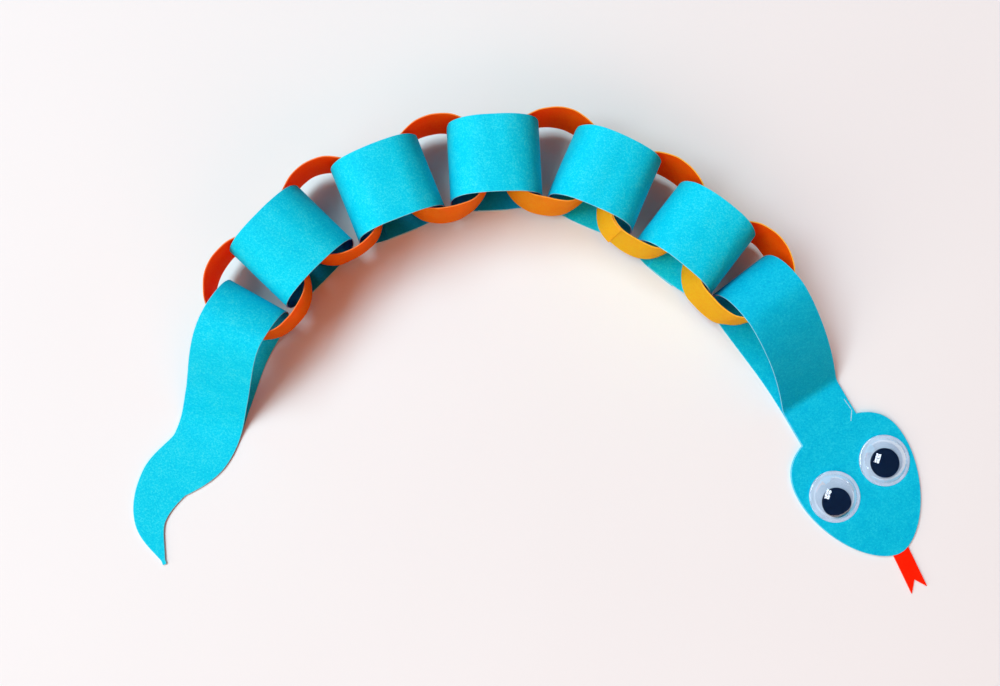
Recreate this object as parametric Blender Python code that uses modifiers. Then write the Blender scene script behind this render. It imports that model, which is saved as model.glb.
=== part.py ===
"""Paper ring snake: loops and upright rings of paper strip in turn, linked like a chain.

Each end of the chain is one long strip folded round the last ring and glued to itself: the tail tapers
to a point, and the head is cut to an egg shape, with a forked tongue and two eyes with loose pupils.
Every pivot empty stands in the middle of an upright ring and carries the rest of the snake from there on,
so turning a pivot bends the snake.
"""

from math import asin, atan2, cos, pi, radians, sin, sqrt

import bmesh
import bpy
import numpy as np
from mathutils import Vector

MM = 0.001

# Paper and glue
PAPER = 0.3 * MM
GLUE_GAP = 0.1 * MM
OVERLAP = 9.0 * MM
OVERLAP_RAMP = 5.0 * MM

# Loops that lie along the snake, their axis across it
LOOP_WIDTH = 21.0 * MM
LOOP_SQUARENESS = 2.6

# Upright rings that join the loops
RING_WIDTH = 20.0 * MM
RING_SIDE_ROOM = 2.9 * MM
RING_EDGE_ROOM = 0.52 * MM
RINGS_APART = 2.1 * MM

# How the snake lies at each ring, from the tail on: its turn there, the room between the inner corners
# of the two strip ends that face each other in the ring, the sideways step from one to the next, how far
# the ring has slid on from half way between them, and where its glued overlap is, counted round from the
# way that the snake goes
LINKS = (
    dict(turn=-16.3, corner_room=0.8 * MM, step=2.4 * MM, slid=0.0 * MM, seam=180.0),
    dict(turn=-24.0, corner_room=1.2 * MM, step=-1.2 * MM, slid=-0.8 * MM, seam=20.0),
    dict(turn=-18.9, corner_room=1.8 * MM, step=1.3 * MM, slid=0.4 * MM, seam=0.0),
    dict(turn=-26.6, corner_room=1.3 * MM, step=0.7 * MM, slid=0.45 * MM, seam=180.0),
    dict(turn=-14.4, corner_room=2.3 * MM, step=-1.2 * MM, slid=0.0 * MM, seam=238.0),
    dict(turn=-15.3, corner_room=0.9 * MM, step=1.0 * MM, slid=0.9 * MM, seam=0.0),
)
FIRST_HEADING = 62.4

# Tail strip. Its middle line runs from the fold to the tip through (back, left) points on the table
TAIL_WIDTH = 17.4 * MM
TAIL_TIP_WIDTH = 1.0 * MM
TAIL_TAPER_START = 38.5 * MM
TAIL_SLOPE_END = 40.5 * MM
TAIL_ROUTE = (
    (0.0 * MM, 0.0 * MM),
    (15.0 * MM, 0.4 * MM),
    (30.0 * MM, -1.8 * MM),
    (45.0 * MM, -3.8 * MM),
    (57.5 * MM, 0.6 * MM),
    (69.0 * MM, -1.0 * MM),
    (77.8 * MM, -10.3 * MM),
)

# Head strip. Its neck runs straight, turns a little to the right and runs straight into the head
NECK_WIDTH = 18.8 * MM
NECK_LENGTH = 51.9 * MM
NECK_STRAIGHT = 24.2 * MM
NECK_TURN = -6.7
NECK_TURN_LENGTH = 19.0 * MM
NECK_SLOPE_END = 45.5 * MM
SLOPE_START = 9.5 * MM

# The head's egg outline, two superellipse halves that meet at its widest place
HEAD_WIDTH = 36.9 * MM
HEAD_BACK = 15.0 * MM
HEAD_BACK_SQUARENESS = 2.6
HEAD_FRONT = 27.4 * MM
HEAD_FRONT_SQUARENESS = 1.72
SNOUT_WIDTH = 1.6 * MM

# Tongue, held between the head's two layers
TONGUE_WIDTH = 5.1 * MM
TONGUE_OUT = 12.1 * MM
TONGUE_IN = 8.0 * MM
TONGUE_NOTCH = 3.4 * MM
TONGUE_SLANT = -5.0

# Eyes: a clear dome with a flange on a white disc, and a black disc loose inside
EYE_DIAMETER = 15.0 * MM
EYE_SPACING = 18.4 * MM
EYE_SLANT = 4.2
EYE_FORWARD = 2.6 * MM
EYE_SIDE = 0.15 * MM
EYE_FLANGE = 0.7 * MM
EYE_DISC = 0.5 * MM
EYE_DISC_ROUNDING = 0.12 * MM
DOME_HEIGHT = 4.2 * MM
DOME_WALL = 0.4 * MM
DOME_SQUARENESS = 2.3
PUPIL_DIAMETER = 8.5 * MM
PUPIL_THICKNESS = 0.6 * MM
PUPIL_ROUNDING = 0.2 * MM
PUPIL_GAP = 0.15 * MM

# Where each pupil has slid to: how far from the eye's middle, and on which bearing from the snout's
PUPIL_LEFT_REACH = 0.65 * MM
PUPIL_LEFT_BEARING = -38.0
PUPIL_RIGHT_REACH = 1.65 * MM
PUPIL_RIGHT_BEARING = -19.0

# How finely the pieces are divided
LOOP_SEGMENTS = 52
RING_SEGMENTS = 48
FOLD_SEGMENTS = 22
ROUTE_STEP = 2.3 * MM
FINE_STEP = 0.25 * MM
HEAD_BACK_SEGMENTS = 7
HEAD_FRONT_SEGMENTS = 12
STRIP_ACROSS = 4
EYE_SEGMENTS = 28
DOME_SEGMENTS = 6
ROUNDING_SEGMENTS = 3
OVAL_SAMPLES = 2001
WELD = 0.01 * MM

# Sizes that follow from those above
STAND_OFF = PAPER + GLUE_GAP
RING_RADIUS = LOOP_WIDTH / 2 + RING_SIDE_ROOM
HEAD_LAYER_SPACE = PAPER + 2 * GLUE_GAP
HEAD_TOP = 2 * PAPER + HEAD_LAYER_SPACE
TONGUE_BASE = PAPER + GLUE_GAP
STRIP_WIDTHS = (TAIL_WIDTH, *[LOOP_WIDTH] * (len(LINKS) - 1), NECK_WIDTH)


def turned_by(vector, angle):
    x, y = vector
    return x * cos(angle) - y * sin(angle), x * sin(angle) + y * cos(angle)


def steps_at_ring(number):
    """At ring `number`, from 0: from the end of the strip before it to the ring's middle, in that strip's
    frame, and from there to the end of the strip after it, in that strip's frame."""
    link = LINKS[number]
    turn = radians(link["turn"])
    corners = (STRIP_WIDTHS[number] + STRIP_WIDTHS[number + 1]) / 2 * sin(abs(turn) / 2)
    middle = (link["corner_room"] + corners) / 2
    before = (middle + link["slid"], link["step"] / 2)
    after = (middle - link["slid"], link["step"] / 2)
    return turned_by(before, turn / 2), turned_by(after, -turn / 2)


def loop_length():
    """A loop holds the near walls of two rings, which are RINGS_APART from each other in the tightest loop."""
    steps = [steps_at_ring(i) for i in range(len(LINKS))]
    least = min(before[1][0] + after[0][0] for before, after in zip(steps, steps[1:]))
    return 2 * RING_RADIUS + RINGS_APART - least


def ring_reach(width, end):
    """How far from a strip's end a ring crosses the strip's edge; the ring's middle is `end` from there."""
    inner = RING_RADIUS - PAPER
    along, side = end
    return sqrt(inner**2 - (width / 2 + abs(side)) ** 2) - along


def rise_at(reach):
    """How much of its half height a bent strip has so far from its end, inside the paper and edge room."""
    share = (LOOP_LENGTH / 2 - reach) / (LOOP_HALF_LENGTH - PAPER / 2 - RING_EDGE_ROOM)
    return (1 - share**LOOP_SQUARENESS) ** (1 / LOOP_SQUARENESS)


def loop_half_height():
    """Half the height of a loop's middle surface: it clears the ring's edges where the ring crosses its own
    edge, in the place that is nearest to a loop's end."""
    ends = [steps_at_ring(i)[0] for i in range(1, len(LINKS))]
    ends += [steps_at_ring(i)[1] for i in range(len(LINKS) - 1)]
    rise = rise_at(min(ring_reach(LOOP_WIDTH, end) for end in ends))
    return RING_WIDTH / 2 / rise + PAPER / 2 + RING_EDGE_ROOM


def fold_half_height(width, end):
    """Half the height of an end strip's fold, which starts on the table and clears its ring's top edge."""
    rise = rise_at(ring_reach(width, end))
    ring_top = RING_BASE + RING_WIDTH
    return (ring_top - PAPER / 2 + (PAPER / 2 + RING_EDGE_ROOM) * rise) / (1 + rise)


LOOP_LENGTH = loop_length()
LOOP_HALF_LENGTH = (LOOP_LENGTH - PAPER) / 2
LOOP_HALF_HEIGHT = loop_half_height()
LOOP_MIDDLE = LOOP_HALF_HEIGHT + STAND_OFF + PAPER / 2
RING_BASE = LOOP_MIDDLE - RING_WIDTH / 2
TAIL_FOLD_HALF_HEIGHT = fold_half_height(TAIL_WIDTH, steps_at_ring(0)[0])
NECK_FOLD_HALF_HEIGHT = fold_half_height(NECK_WIDTH, steps_at_ring(len(LINKS) - 1)[1])


def clear_scene():
    for obj in list(bpy.data.objects):
        bpy.data.objects.remove(obj)


def make_material(name, color, roughness, alpha=1.0):
    mat = bpy.data.materials.new(name)
    mat.use_nodes = True
    shader = mat.node_tree.nodes["Principled BSDF"]
    shader.inputs["Base Color"].default_value = (*color, 1.0)
    shader.inputs["Roughness"].default_value = roughness
    shader.inputs["Metallic"].default_value = 0.0
    shader.inputs["Alpha"].default_value = alpha
    return mat


def add_object(name, mesh, mat, parts, parent, place=(0.0, 0.0, 0.0), turn=0.0):
    """Link a mesh into the parts under a pivot, at a place and a turn about the vertical."""
    obj = bpy.data.objects.new(name, mesh)
    mesh.materials.clear()
    mesh.materials.append(mat)
    parts.objects.link(obj)
    obj.parent = parent
    obj.location = place
    obj.rotation_euler = (0.0, 0.0, turn)
    return obj


def add_pivot(name, parts, parent, place=(0.0, 0.0), turn=0.0):
    pivot = bpy.data.objects.new(name, None)
    pivot.empty_display_size = RING_RADIUS
    parts.objects.link(pivot)
    pivot.parent = parent
    pivot.location = (place[0], place[1], 0.0)
    pivot.rotation_euler = (0.0, 0.0, turn)
    return pivot


def bent_strip(name, along, across, bend):
    """A flat grid of paper, bent: bend(i, share) places station i of the strip's length at that share of
    its width, which runs from -1 on the right to 1 on the left."""
    work = bmesh.new()
    bmesh.ops.create_grid(work, x_segments=along, y_segments=across, size=1.0)
    for vert in work.verts:
        station = round((vert.co.x + 1) / 2 * along)
        vert.co = bend(station, vert.co.y)
    bmesh.ops.triangulate(work, faces=work.faces[:])
    for face in work.faces:
        face.smooth = True
    mesh = bpy.data.meshes.new(name)
    work.to_mesh(mesh)
    work.free()
    return mesh


def add_paper(obj):
    """Give a bent strip the paper's thickness, half of it on each side."""
    sheet = obj.modifiers.new("paper", "SOLIDIFY")
    sheet.thickness = PAPER
    sheet.offset = 0.0
    sheet.use_even_offset = True


def eased(value):
    """0 to 1 with level ends."""
    value = min(max(value, 0.0), 1.0)
    return value * value * (3 - 2 * value)


def oval_point(angle, half_x, half_y, squareness):
    """A point of the superellipse |x/a|^n + |y/b|^n = 1."""
    c = cos(angle)
    s = sin(angle)
    power = 2 / squareness
    x = half_x * abs(c) ** power * (1 if c >= 0 else -1)
    y = half_y * abs(s) ** power * (1 if s >= 0 else -1)
    return x, y


def oval_lengths(oval, first, last):
    """Fine angles over a stretch of a superellipse, and the length along it up to each of them."""
    fine = np.linspace(first, last, OVAL_SAMPLES)
    points = np.array([oval_point(angle, *oval) for angle in fine])
    steps = np.linalg.norm(np.diff(points, axis=0), axis=1)
    return fine, np.concatenate([[0.0], np.cumsum(steps)])


def oval_angles(oval, first, last, count):
    """Angles that cut a stretch of a superellipse into equal lengths."""
    fine, reached = oval_lengths(oval, first, last)
    return np.interp(np.linspace(0.0, reached[-1], count + 1), reached, fine)


def lap_offset(done, girth):
    """How far the strip stands outside its first turn: its last stretch climbs on to the first one."""
    return STAND_OFF * eased((done - girth + OVERLAP_RAMP) / OVERLAP_RAMP)


def loop_mesh():
    """A closed loop of strip from x = 0 to its length, with the glued overlap underneath, on the table."""
    bottom = 1.5 * pi
    oval = (LOOP_HALF_LENGTH, LOOP_HALF_HEIGHT, LOOP_SQUARENESS)
    fine, reached = oval_lengths(oval, bottom, bottom + 2 * pi)
    girth = reached[-1]
    total = girth + OVERLAP
    lap = np.interp(OVERLAP / 2, reached, fine) - bottom
    angles = oval_angles(oval, bottom - lap, bottom + 2 * pi + lap, LOOP_SEGMENTS)

    def bend(station, share):
        offset = lap_offset(total * station / LOOP_SEGMENTS, girth)
        x, z = oval_point(angles[station], oval[0], oval[1] + offset, oval[2])
        return Vector((x + LOOP_LENGTH / 2, share * LOOP_WIDTH / 2, z + LOOP_MIDDLE))

    return bent_strip("loop", LOOP_SEGMENTS, 1, bend)


def ring_mesh():
    """An upright round ring of strip, with its glued overlap on +X."""
    radius = RING_RADIUS - PAPER / 2
    girth = 2 * pi * radius
    total = girth + OVERLAP

    def bend(station, share):
        done = total * station / RING_SEGMENTS
        angle = (done - OVERLAP / 2) / radius
        reach = radius + lap_offset(done, girth)
        return Vector((reach * cos(angle), reach * sin(angle), RING_BASE + (share + 1) / 2 * RING_WIDTH))

    return bent_strip("ring", RING_SEGMENTS, 1, bend)


def smooth_route(knots):
    """Even points on the smooth curve through the knots (Catmull-Rom), and the curve's length."""
    known = np.array(knots)
    ends = np.array([2 * known[0] - known[1], *known, 2 * known[-1] - known[-2]])
    fine = [known[0]]
    for a, b, c, d in zip(ends, ends[1:], ends[2:], ends[3:]):
        count = round(np.linalg.norm(c - b) / FINE_STEP)
        for t in np.linspace(0.0, 1.0, count + 1)[1:]:
            part = 2 * b + (c - a) * t + (2 * a - 5 * b + 4 * c - d) * t**2 + (3 * b - a - 3 * c + d) * t**3
            fine.append(part / 2)
    fine = np.array(fine)
    reached = np.concatenate([[0.0], np.cumsum(np.linalg.norm(np.diff(fine, axis=0), axis=1))])
    marks = np.linspace(0.0, reached[-1], round(reached[-1] / FINE_STEP) + 1)
    even = np.column_stack([np.interp(marks, reached, fine[:, i]) for i in (0, 1)])
    return even, reached[-1]


class Route:
    """A strip's middle line on the table, read by the distance from its fold."""

    def __init__(self, points, length):
        self.points = points
        self.marks = np.linspace(0.0, length, len(points))
        self.headings = np.unwrap(np.arctan2(*np.gradient(points, axis=0).T[::-1]))
        self.length = length

    def place(self, distance):
        return [np.interp(distance, self.marks, self.points[:, i]) for i in (0, 1)]

    def across(self, distance, left):
        """The point that lies so far to the left of the middle line at that distance."""
        x, y = self.place(distance)
        heading = np.interp(distance, self.marks, self.headings)
        return x - left * sin(heading), y + left * cos(heading)


def tail_route():
    points, length = smooth_route([(-back, left) for back, left in TAIL_ROUTE])
    return Route(points, length)


def neck_route():
    """Straight, an arc to the right, and straight on to the end of the head."""
    length = NECK_LENGTH + HEAD_BACK + HEAD_FRONT
    marks = np.linspace(0.0, length, round(length / FINE_STEP) + 1)
    turned = radians(NECK_TURN) * np.clip((marks - NECK_STRAIGHT) / NECK_TURN_LENGTH, 0.0, 1.0)
    steps = np.diff(marks)
    middle = (turned[1:] + turned[:-1]) / 2
    x = np.concatenate([[0.0], np.cumsum(steps * np.cos(middle))])
    y = np.concatenate([[0.0], np.cumsum(steps * np.sin(middle))])
    return Route(np.column_stack([x, y]), length)


def folded_strip_mesh(name, route, stations, half_width, half_fold, layer_space, slope_end):
    """A strip that comes along the table, folds up and over, slopes down and lies on itself.

    The stations are distances from the fold, rising; half_width gives the outline at a distance, and
    half_fold is half the fold's height.
    """
    oval = (LOOP_HALF_LENGTH, half_fold, LOOP_SQUARENESS)
    angles = oval_angles(oval, 1.5 * pi, 0.5 * pi, FOLD_SEGMENTS)
    low = PAPER / 2
    top = low + 2 * half_fold
    lapped = low + PAPER + layer_space

    def drop(distance):
        return (top - lapped) * eased((distance - SLOPE_START) / (slope_end - SLOPE_START))

    profile = [(distance, low) for distance in stations[::-1]]
    for angle in angles[1:-1]:
        x, z = oval_point(angle, *oval)
        distance = x + LOOP_LENGTH / 2
        fall = drop(distance) if z > 0 else 0.0
        profile.append((distance, z + half_fold + low - fall))
    profile += [(distance, top - drop(distance)) for distance in stations]

    def bend(station, share):
        distance, z = profile[station]
        x, y = route.across(distance, share * half_width(distance))
        return Vector((x, y, z))

    return bent_strip(name, len(profile) - 1, STRIP_ACROSS, bend)


def tail_half_width(length):
    def half_width(distance):
        share = max(distance - TAIL_TAPER_START, 0.0) / (length - TAIL_TAPER_START)
        return max(TAIL_WIDTH * (1 - share * share), TAIL_TIP_WIDTH) / 2

    return half_width


def head_half_width(distance):
    """The neck's width, or the egg's where that is wider, closing in to the snout."""
    widest = NECK_LENGTH + HEAD_BACK
    if distance <= widest:
        share = min((widest - distance) / HEAD_BACK, 1.0)
        egg = (1 - share**HEAD_BACK_SQUARENESS) ** (1 / HEAD_BACK_SQUARENESS)
        return max(HEAD_WIDTH * egg, NECK_WIDTH) / 2
    share = min((distance - widest) / HEAD_FRONT, 1.0)
    egg = (1 - share**HEAD_FRONT_SQUARENESS) ** (1 / HEAD_FRONT_SQUARENESS)
    return max(HEAD_WIDTH * egg, SNOUT_WIDTH) / 2


def even_stations(first, last, step):
    return list(np.linspace(first, last, max(round((last - first) / step), 1) + 1))


def tail_stations(length):
    return even_stations(LOOP_LENGTH / 2, length, ROUTE_STEP)


def angle_at_width(oval, width):
    """The angle at which a superellipse is so wide across."""
    return asin((width / 2 / oval[1]) ** (oval[2] / 2))


def head_stations():
    """Even steps down the neck, then steps that are even round the egg's outline."""
    widest = NECK_LENGTH + HEAD_BACK
    back = (HEAD_BACK, HEAD_WIDTH / 2, HEAD_BACK_SQUARENESS)
    front = (HEAD_FRONT, HEAD_WIDTH / 2, HEAD_FRONT_SQUARENESS)
    join_angle = angle_at_width(back, NECK_WIDTH)
    snout_angle = angle_at_width(front, SNOUT_WIDTH)
    join = oval_point(join_angle, *back)[0]
    stations = even_stations(LOOP_LENGTH / 2, widest - join, ROUTE_STEP)
    for angle in oval_angles(back, join_angle, pi / 2, HEAD_BACK_SEGMENTS)[1:]:
        stations.append(widest - oval_point(angle, *back)[0])
    for angle in oval_angles(front, pi / 2, snout_angle, HEAD_FRONT_SEGMENTS)[1:]:
        stations.append(widest + oval_point(angle, *front)[0])
    return stations


def flat_outline_mesh(name, outline, thickness):
    """A flat piece cut to an outline, from z = 0 up to its thickness."""
    curve = bpy.data.curves.new(name, "CURVE")
    curve.dimensions = "2D"
    curve.fill_mode = "BOTH"
    curve.extrude = thickness / 2
    spline = curve.splines.new("POLY")
    spline.points.add(len(outline) - 1)
    for point, (x, y) in zip(spline.points, outline):
        point.co = (x, y, 0.0, 1.0)
    spline.use_cyclic_u = True
    holder = bpy.data.objects.new(name, curve)
    bpy.context.scene.collection.objects.link(holder)
    mesh = bpy.data.meshes.new_from_object(holder.evaluated_get(bpy.context.evaluated_depsgraph_get()))
    bpy.data.objects.remove(holder)
    work = bmesh.new()
    work.from_mesh(mesh)
    bmesh.ops.remove_doubles(work, verts=work.verts[:], dist=WELD)
    bmesh.ops.translate(work, verts=work.verts[:], vec=(0.0, 0.0, thickness / 2))
    work.to_mesh(mesh)
    work.free()
    return mesh


def turned_piece(name, profile, mat, parts, parent, place):
    """A round piece turned about z from a profile that runs down its outer side."""
    mesh = bpy.data.meshes.new(name)
    verts = [(radius, 0.0, z) for radius, z in profile]
    mesh.from_pydata(verts, [(i, i + 1) for i in range(len(verts) - 1)], [])
    obj = add_object(name, mesh, mat, parts, parent, place)
    screw = obj.modifiers.new("turn", "SCREW")
    screw.axis = "Z"
    screw.steps = EYE_SEGMENTS
    screw.render_steps = EYE_SEGMENTS
    screw.use_merge_vertices = True
    screw.merge_threshold = WELD
    screw.use_smooth_shade = False


def disc_profile(radius, thickness, rounding):
    """A disc whose upper edge is rounded off."""
    arc = []
    for angle in np.linspace(pi / 2, 0.0, ROUNDING_SEGMENTS + 1):
        arc.append((radius - rounding + rounding * cos(angle), thickness - rounding + rounding * sin(angle)))
    return [(0.0, thickness), *arc, (radius, 0.0), (0.0, 0.0)]


def dome_profile():
    """A flange and a domed cap, open below."""
    radius = EYE_DIAMETER / 2
    outside = (radius - EYE_FLANGE, DOME_HEIGHT, DOME_SQUARENESS)
    inside = (radius - EYE_FLANGE - DOME_WALL, DOME_HEIGHT - DOME_WALL, DOME_SQUARENESS)
    foot = asin((DOME_WALL / DOME_HEIGHT) ** (DOME_SQUARENESS / 2))
    outer = [oval_point(a, *outside) for a in np.linspace(pi / 2, foot, DOME_SEGMENTS + 1)]
    inner = [oval_point(a, *inside) for a in np.linspace(0.0, pi / 2, DOME_SEGMENTS + 1)]
    outer[0] = (0.0, DOME_HEIGHT)
    inner[-1] = (0.0, DOME_HEIGHT - DOME_WALL)
    return [*outer, (radius, DOME_WALL), (radius, 0.0), *inner]


def build_eye(side, place, pupil_offset, looks, parts, parent):
    x, y = place
    disc_base = HEAD_TOP + GLUE_GAP
    dome_base = disc_base + EYE_DISC + GLUE_GAP
    pupil_place = (x + pupil_offset[0], y + pupil_offset[1], disc_base + EYE_DISC + PUPIL_GAP)
    disc = disc_profile(EYE_DIAMETER / 2, EYE_DISC, EYE_DISC_ROUNDING)
    pupil = disc_profile(PUPIL_DIAMETER / 2, PUPIL_THICKNESS, PUPIL_ROUNDING)
    turned_piece(f"eye_backing_{side}", disc, looks["eye_white"], parts, parent, (x, y, disc_base))
    turned_piece(f"eye_dome_{side}", dome_profile(), looks["eye_clear"], parts, parent, (x, y, dome_base))
    turned_piece(f"pupil_{side}", pupil, looks["pupil_black"], parts, parent, pupil_place)


def build_tail(looks, parts, pivot):
    route = tail_route()
    stations = tail_stations(route.length)
    half_width = tail_half_width(route.length)
    mesh = folded_strip_mesh(
        "tail_strip", route, stations, half_width, TAIL_FOLD_HALF_HEIGHT, GLUE_GAP, TAIL_SLOPE_END
    )
    add_paper(add_object("tail_strip", mesh, looks["blue_paper"], parts, pivot))


def build_head(looks, parts, pivot, start):
    """The head strip, the tongue and the eyes, from the fold's place in the pivot's frame."""
    route = neck_route()
    fold = add_pivot("neck_fold", parts, pivot, start)
    stations = head_stations()
    mesh = folded_strip_mesh(
        "head_strip",
        route,
        stations,
        head_half_width,
        NECK_FOLD_HALF_HEIGHT,
        HEAD_LAYER_SPACE,
        NECK_SLOPE_END,
    )
    add_paper(add_object("head_strip", mesh, looks["blue_paper"], parts, fold))

    widest = NECK_LENGTH + HEAD_BACK
    snout = widest + HEAD_FRONT
    half = TONGUE_WIDTH / 2
    outline = [
        (-TONGUE_IN, -half),
        (TONGUE_OUT, -half),
        (TONGUE_OUT - TONGUE_NOTCH, 0.0),
        (TONGUE_OUT, half),
        (-TONGUE_IN, half),
    ]
    heading = radians(NECK_TURN)
    tongue = flat_outline_mesh("tongue", outline, PAPER)
    place = (*route.place(snout), TONGUE_BASE)
    add_object("tongue", tongue, looks["tongue_paper"], parts, fold, place, heading + radians(TONGUE_SLANT))

    eyes = (
        ("left", 1, PUPIL_LEFT_REACH, PUPIL_LEFT_BEARING),
        ("right", -1, PUPIL_RIGHT_REACH, PUPIL_RIGHT_BEARING),
    )
    for side, sign, reach, bearing in eyes:
        back, left = turned_by((0.0, sign * EYE_SPACING / 2), radians(EYE_SLANT))
        place = route.across(widest + EYE_FORWARD + back, EYE_SIDE + left)
        offset = turned_by((reach, 0.0), heading + radians(bearing))
        build_eye(side, place, offset, looks, parts, fold)


def build_chain(looks, parts, root):
    """The loops and rings in turn, each pivot in the middle of its ring, then the head."""
    loop = loop_mesh()
    ring = ring_mesh()
    pivot = root
    end = (0.0, 0.0)
    for number, link in enumerate(LINKS, start=1):
        step_out, step_in = steps_at_ring(number - 1)
        place = (end[0] + step_out[0], end[1] + step_out[1])
        pivot = add_pivot(f"pivot_{number}", parts, pivot, place, radians(link["turn"]))
        name = f"orange_ring_{number}"
        seam = radians(link["seam"])
        add_paper(add_object(name, ring.copy(), looks["orange_paper"], parts, pivot, turn=seam))
        if number < len(LINKS):
            name = f"blue_ring_{number}"
            add_paper(add_object(name, loop.copy(), looks["blue_paper"], parts, pivot, (*step_in, 0.0)))
            end = (step_in[0] + LOOP_LENGTH, step_in[1])
        else:
            build_head(looks, parts, pivot, step_in)


def centre_on_table(parts, root):
    """Move the whole snake so that the origin is the bottom centre of its box."""
    bpy.context.view_layer.update()
    graph = bpy.context.evaluated_depsgraph_get()
    corners = []
    for obj in parts.objects:
        if obj.type == "MESH":
            shape = obj.evaluated_get(graph)
            corners += [shape.matrix_world @ vert.co for vert in shape.data.vertices]
    points = np.array(corners)
    low = points.min(axis=0)
    high = points.max(axis=0)
    root.location = (-(low[0] + high[0]) / 2, -(low[1] + high[1]) / 2, -low[2])
    bpy.context.view_layer.update()


def main():
    clear_scene()
    parts = bpy.data.collections.new("paper_ring_snake")
    bpy.context.scene.collection.children.link(parts)
    looks = {
        "blue_paper": make_material("blue_paper", (0.02, 0.62, 0.85), 0.75),
        "orange_paper": make_material("orange_paper", (0.95, 0.22, 0.02), 0.75),
        "tongue_paper": make_material("tongue_paper", (0.80, 0.06, 0.02), 0.75),
        "eye_white": make_material("eye_white", (0.86, 0.88, 0.92), 0.35),
        "eye_clear": make_material("eye_clear", (0.95, 0.97, 1.0), 0.05, alpha=0.25),
        "pupil_black": make_material("pupil_black", (0.01, 0.01, 0.012), 0.2),
    }
    root = add_pivot("tail_fold", parts, None, turn=radians(FIRST_HEADING))
    build_tail(looks, parts, root)
    build_chain(looks, parts, root)
    centre_on_table(parts, root)


main()
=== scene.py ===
import bpy
import numpy as np
from mathutils import Matrix, Vector


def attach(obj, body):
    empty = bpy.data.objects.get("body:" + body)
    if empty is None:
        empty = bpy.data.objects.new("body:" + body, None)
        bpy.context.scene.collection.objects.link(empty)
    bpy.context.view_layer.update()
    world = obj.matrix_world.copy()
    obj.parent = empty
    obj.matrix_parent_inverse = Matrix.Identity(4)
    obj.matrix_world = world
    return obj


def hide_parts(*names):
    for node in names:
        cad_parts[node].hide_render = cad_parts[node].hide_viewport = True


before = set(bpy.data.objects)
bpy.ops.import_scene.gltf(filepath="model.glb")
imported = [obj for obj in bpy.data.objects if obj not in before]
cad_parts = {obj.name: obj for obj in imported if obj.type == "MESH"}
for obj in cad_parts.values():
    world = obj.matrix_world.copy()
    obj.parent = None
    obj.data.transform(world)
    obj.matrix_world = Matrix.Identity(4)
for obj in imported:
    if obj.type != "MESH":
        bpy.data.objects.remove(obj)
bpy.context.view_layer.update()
mm = 0.001
print("stage: packed part loaded")

# Every shape below is worked out in millimetres and written into its mesh in metres.

paper = {
    "thick": 0.3,
    "edgeRound": 0.09,          # how far the middle of a cut edge stands out
    "standOff": 0.4,            # a glued end lies this far outside the sheet under it
    "overlap": 9.0,
    "ramp": 5.0,
    # soft unevenness of a hand-bent sheet: its height, its waves' lengths, how far their crests run askew
    "ripple": 0.07, "rippleWaves": (17.0, 9.0, 5.3), "askew": 0.35,
    # slow wander of a hand-cut width: its size, its two waves and the quicker one's share
    "wander": 0.05, "wanderWaves": (9.0, 4.1), "quickShare": 0.6,
    # rows of points close to a cut edge, and where the even ones start
    "edgeRows": (0.0, 0.12, 0.36), "evenFrom": 0.9,
    "mapUnit": 10.0,
}

# Each use of random numbers has its own seeds: these, plus the number of the loop or ring.
seeds = {"loopRipple": 0, "ringRipple": 20, "loopCut": 40, "ringCut": 60}

chain = {
    "start": (-78.0192, 16.6857),     # the fold of the tail strip
    "heading": 62.4,
    "loopWidth": 21.0,
    "squareness": 2.6,
    "ringRadius": 13.4,
    "ringWidth": 20.0,
    "ringsApart": 2.1,
    "edgeRoom": 0.52,
    "tailWidth": 17.4,
    "neckWidth": 18.8,
    # turn at the ring, room between corners, sideways step, how far the ring has slid on, its glued place
    "links": (
        (-16.3, 0.8, 2.4, 0.0, 180.0),
        (-24.0, 1.2, -1.2, -0.8, 20.0),
        (-18.9, 1.8, 1.3, 0.4, 0.0),
        (-26.6, 1.3, 0.7, 0.45, 180.0),
        (-14.4, 2.3, -1.2, 0.0, 238.0),
        (-15.3, 0.9, 1.0, 0.9, 0.0),
    ),
}


# Plane vector turned by an angle in degrees.
def turned(vector, degrees):
    a = np.radians(degrees)
    return np.array([vector[0] * np.cos(a) - vector[1] * np.sin(a),
                     vector[0] * np.sin(a) + vector[1] * np.cos(a)])


# 0 to 1 with level ends: t squared times (3 - 2t).
def eased(t):
    t = np.clip(t, 0.0, 1.0)
    return t * t * (3 - 2 * t)


# Superellipse |x/a|^n + |y/b|^n = 1, read at angles.
def ovalPoint(angle, halfX, halfY, squareness):
    c, s = np.cos(angle), np.sin(angle)
    return (halfX * np.abs(c) ** (2 / squareness) * np.sign(c),
            halfY * np.abs(s) ** (2 / squareness) * np.sign(s))


# Length along a stretch of a superellipse, up to each of many fine angles.
def ovalLengths(oval, first, last, samples=6001):
    fine = np.linspace(first, last, samples)
    x, y = ovalPoint(fine, *oval)
    return fine, np.concatenate([[0.0], np.cumsum(np.hypot(np.diff(x), np.diff(y)))])


# Angles that cut that stretch into equal lengths.
def evenAngles(oval, first, last, count):
    fine, reached = ovalLengths(oval, first, last)
    return np.interp(np.linspace(0.0, reached[-1], count + 1), reached, fine)


# Where the strip before a ring ends and the strip after it starts, each measured from the ring's middle.
def ringSteps(number):
    widths = [chain["tailWidth"]] + [chain["loopWidth"]] * 5 + [chain["neckWidth"]]
    turn, room, step, slid, _ = chain["links"][number]
    middle = (room + (widths[number] + widths[number + 1]) / 2 * np.sin(np.radians(abs(turn) / 2))) / 2
    return turned((middle + slid, step / 2), turn / 2), turned((middle - slid, step / 2), -turn / 2)


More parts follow.
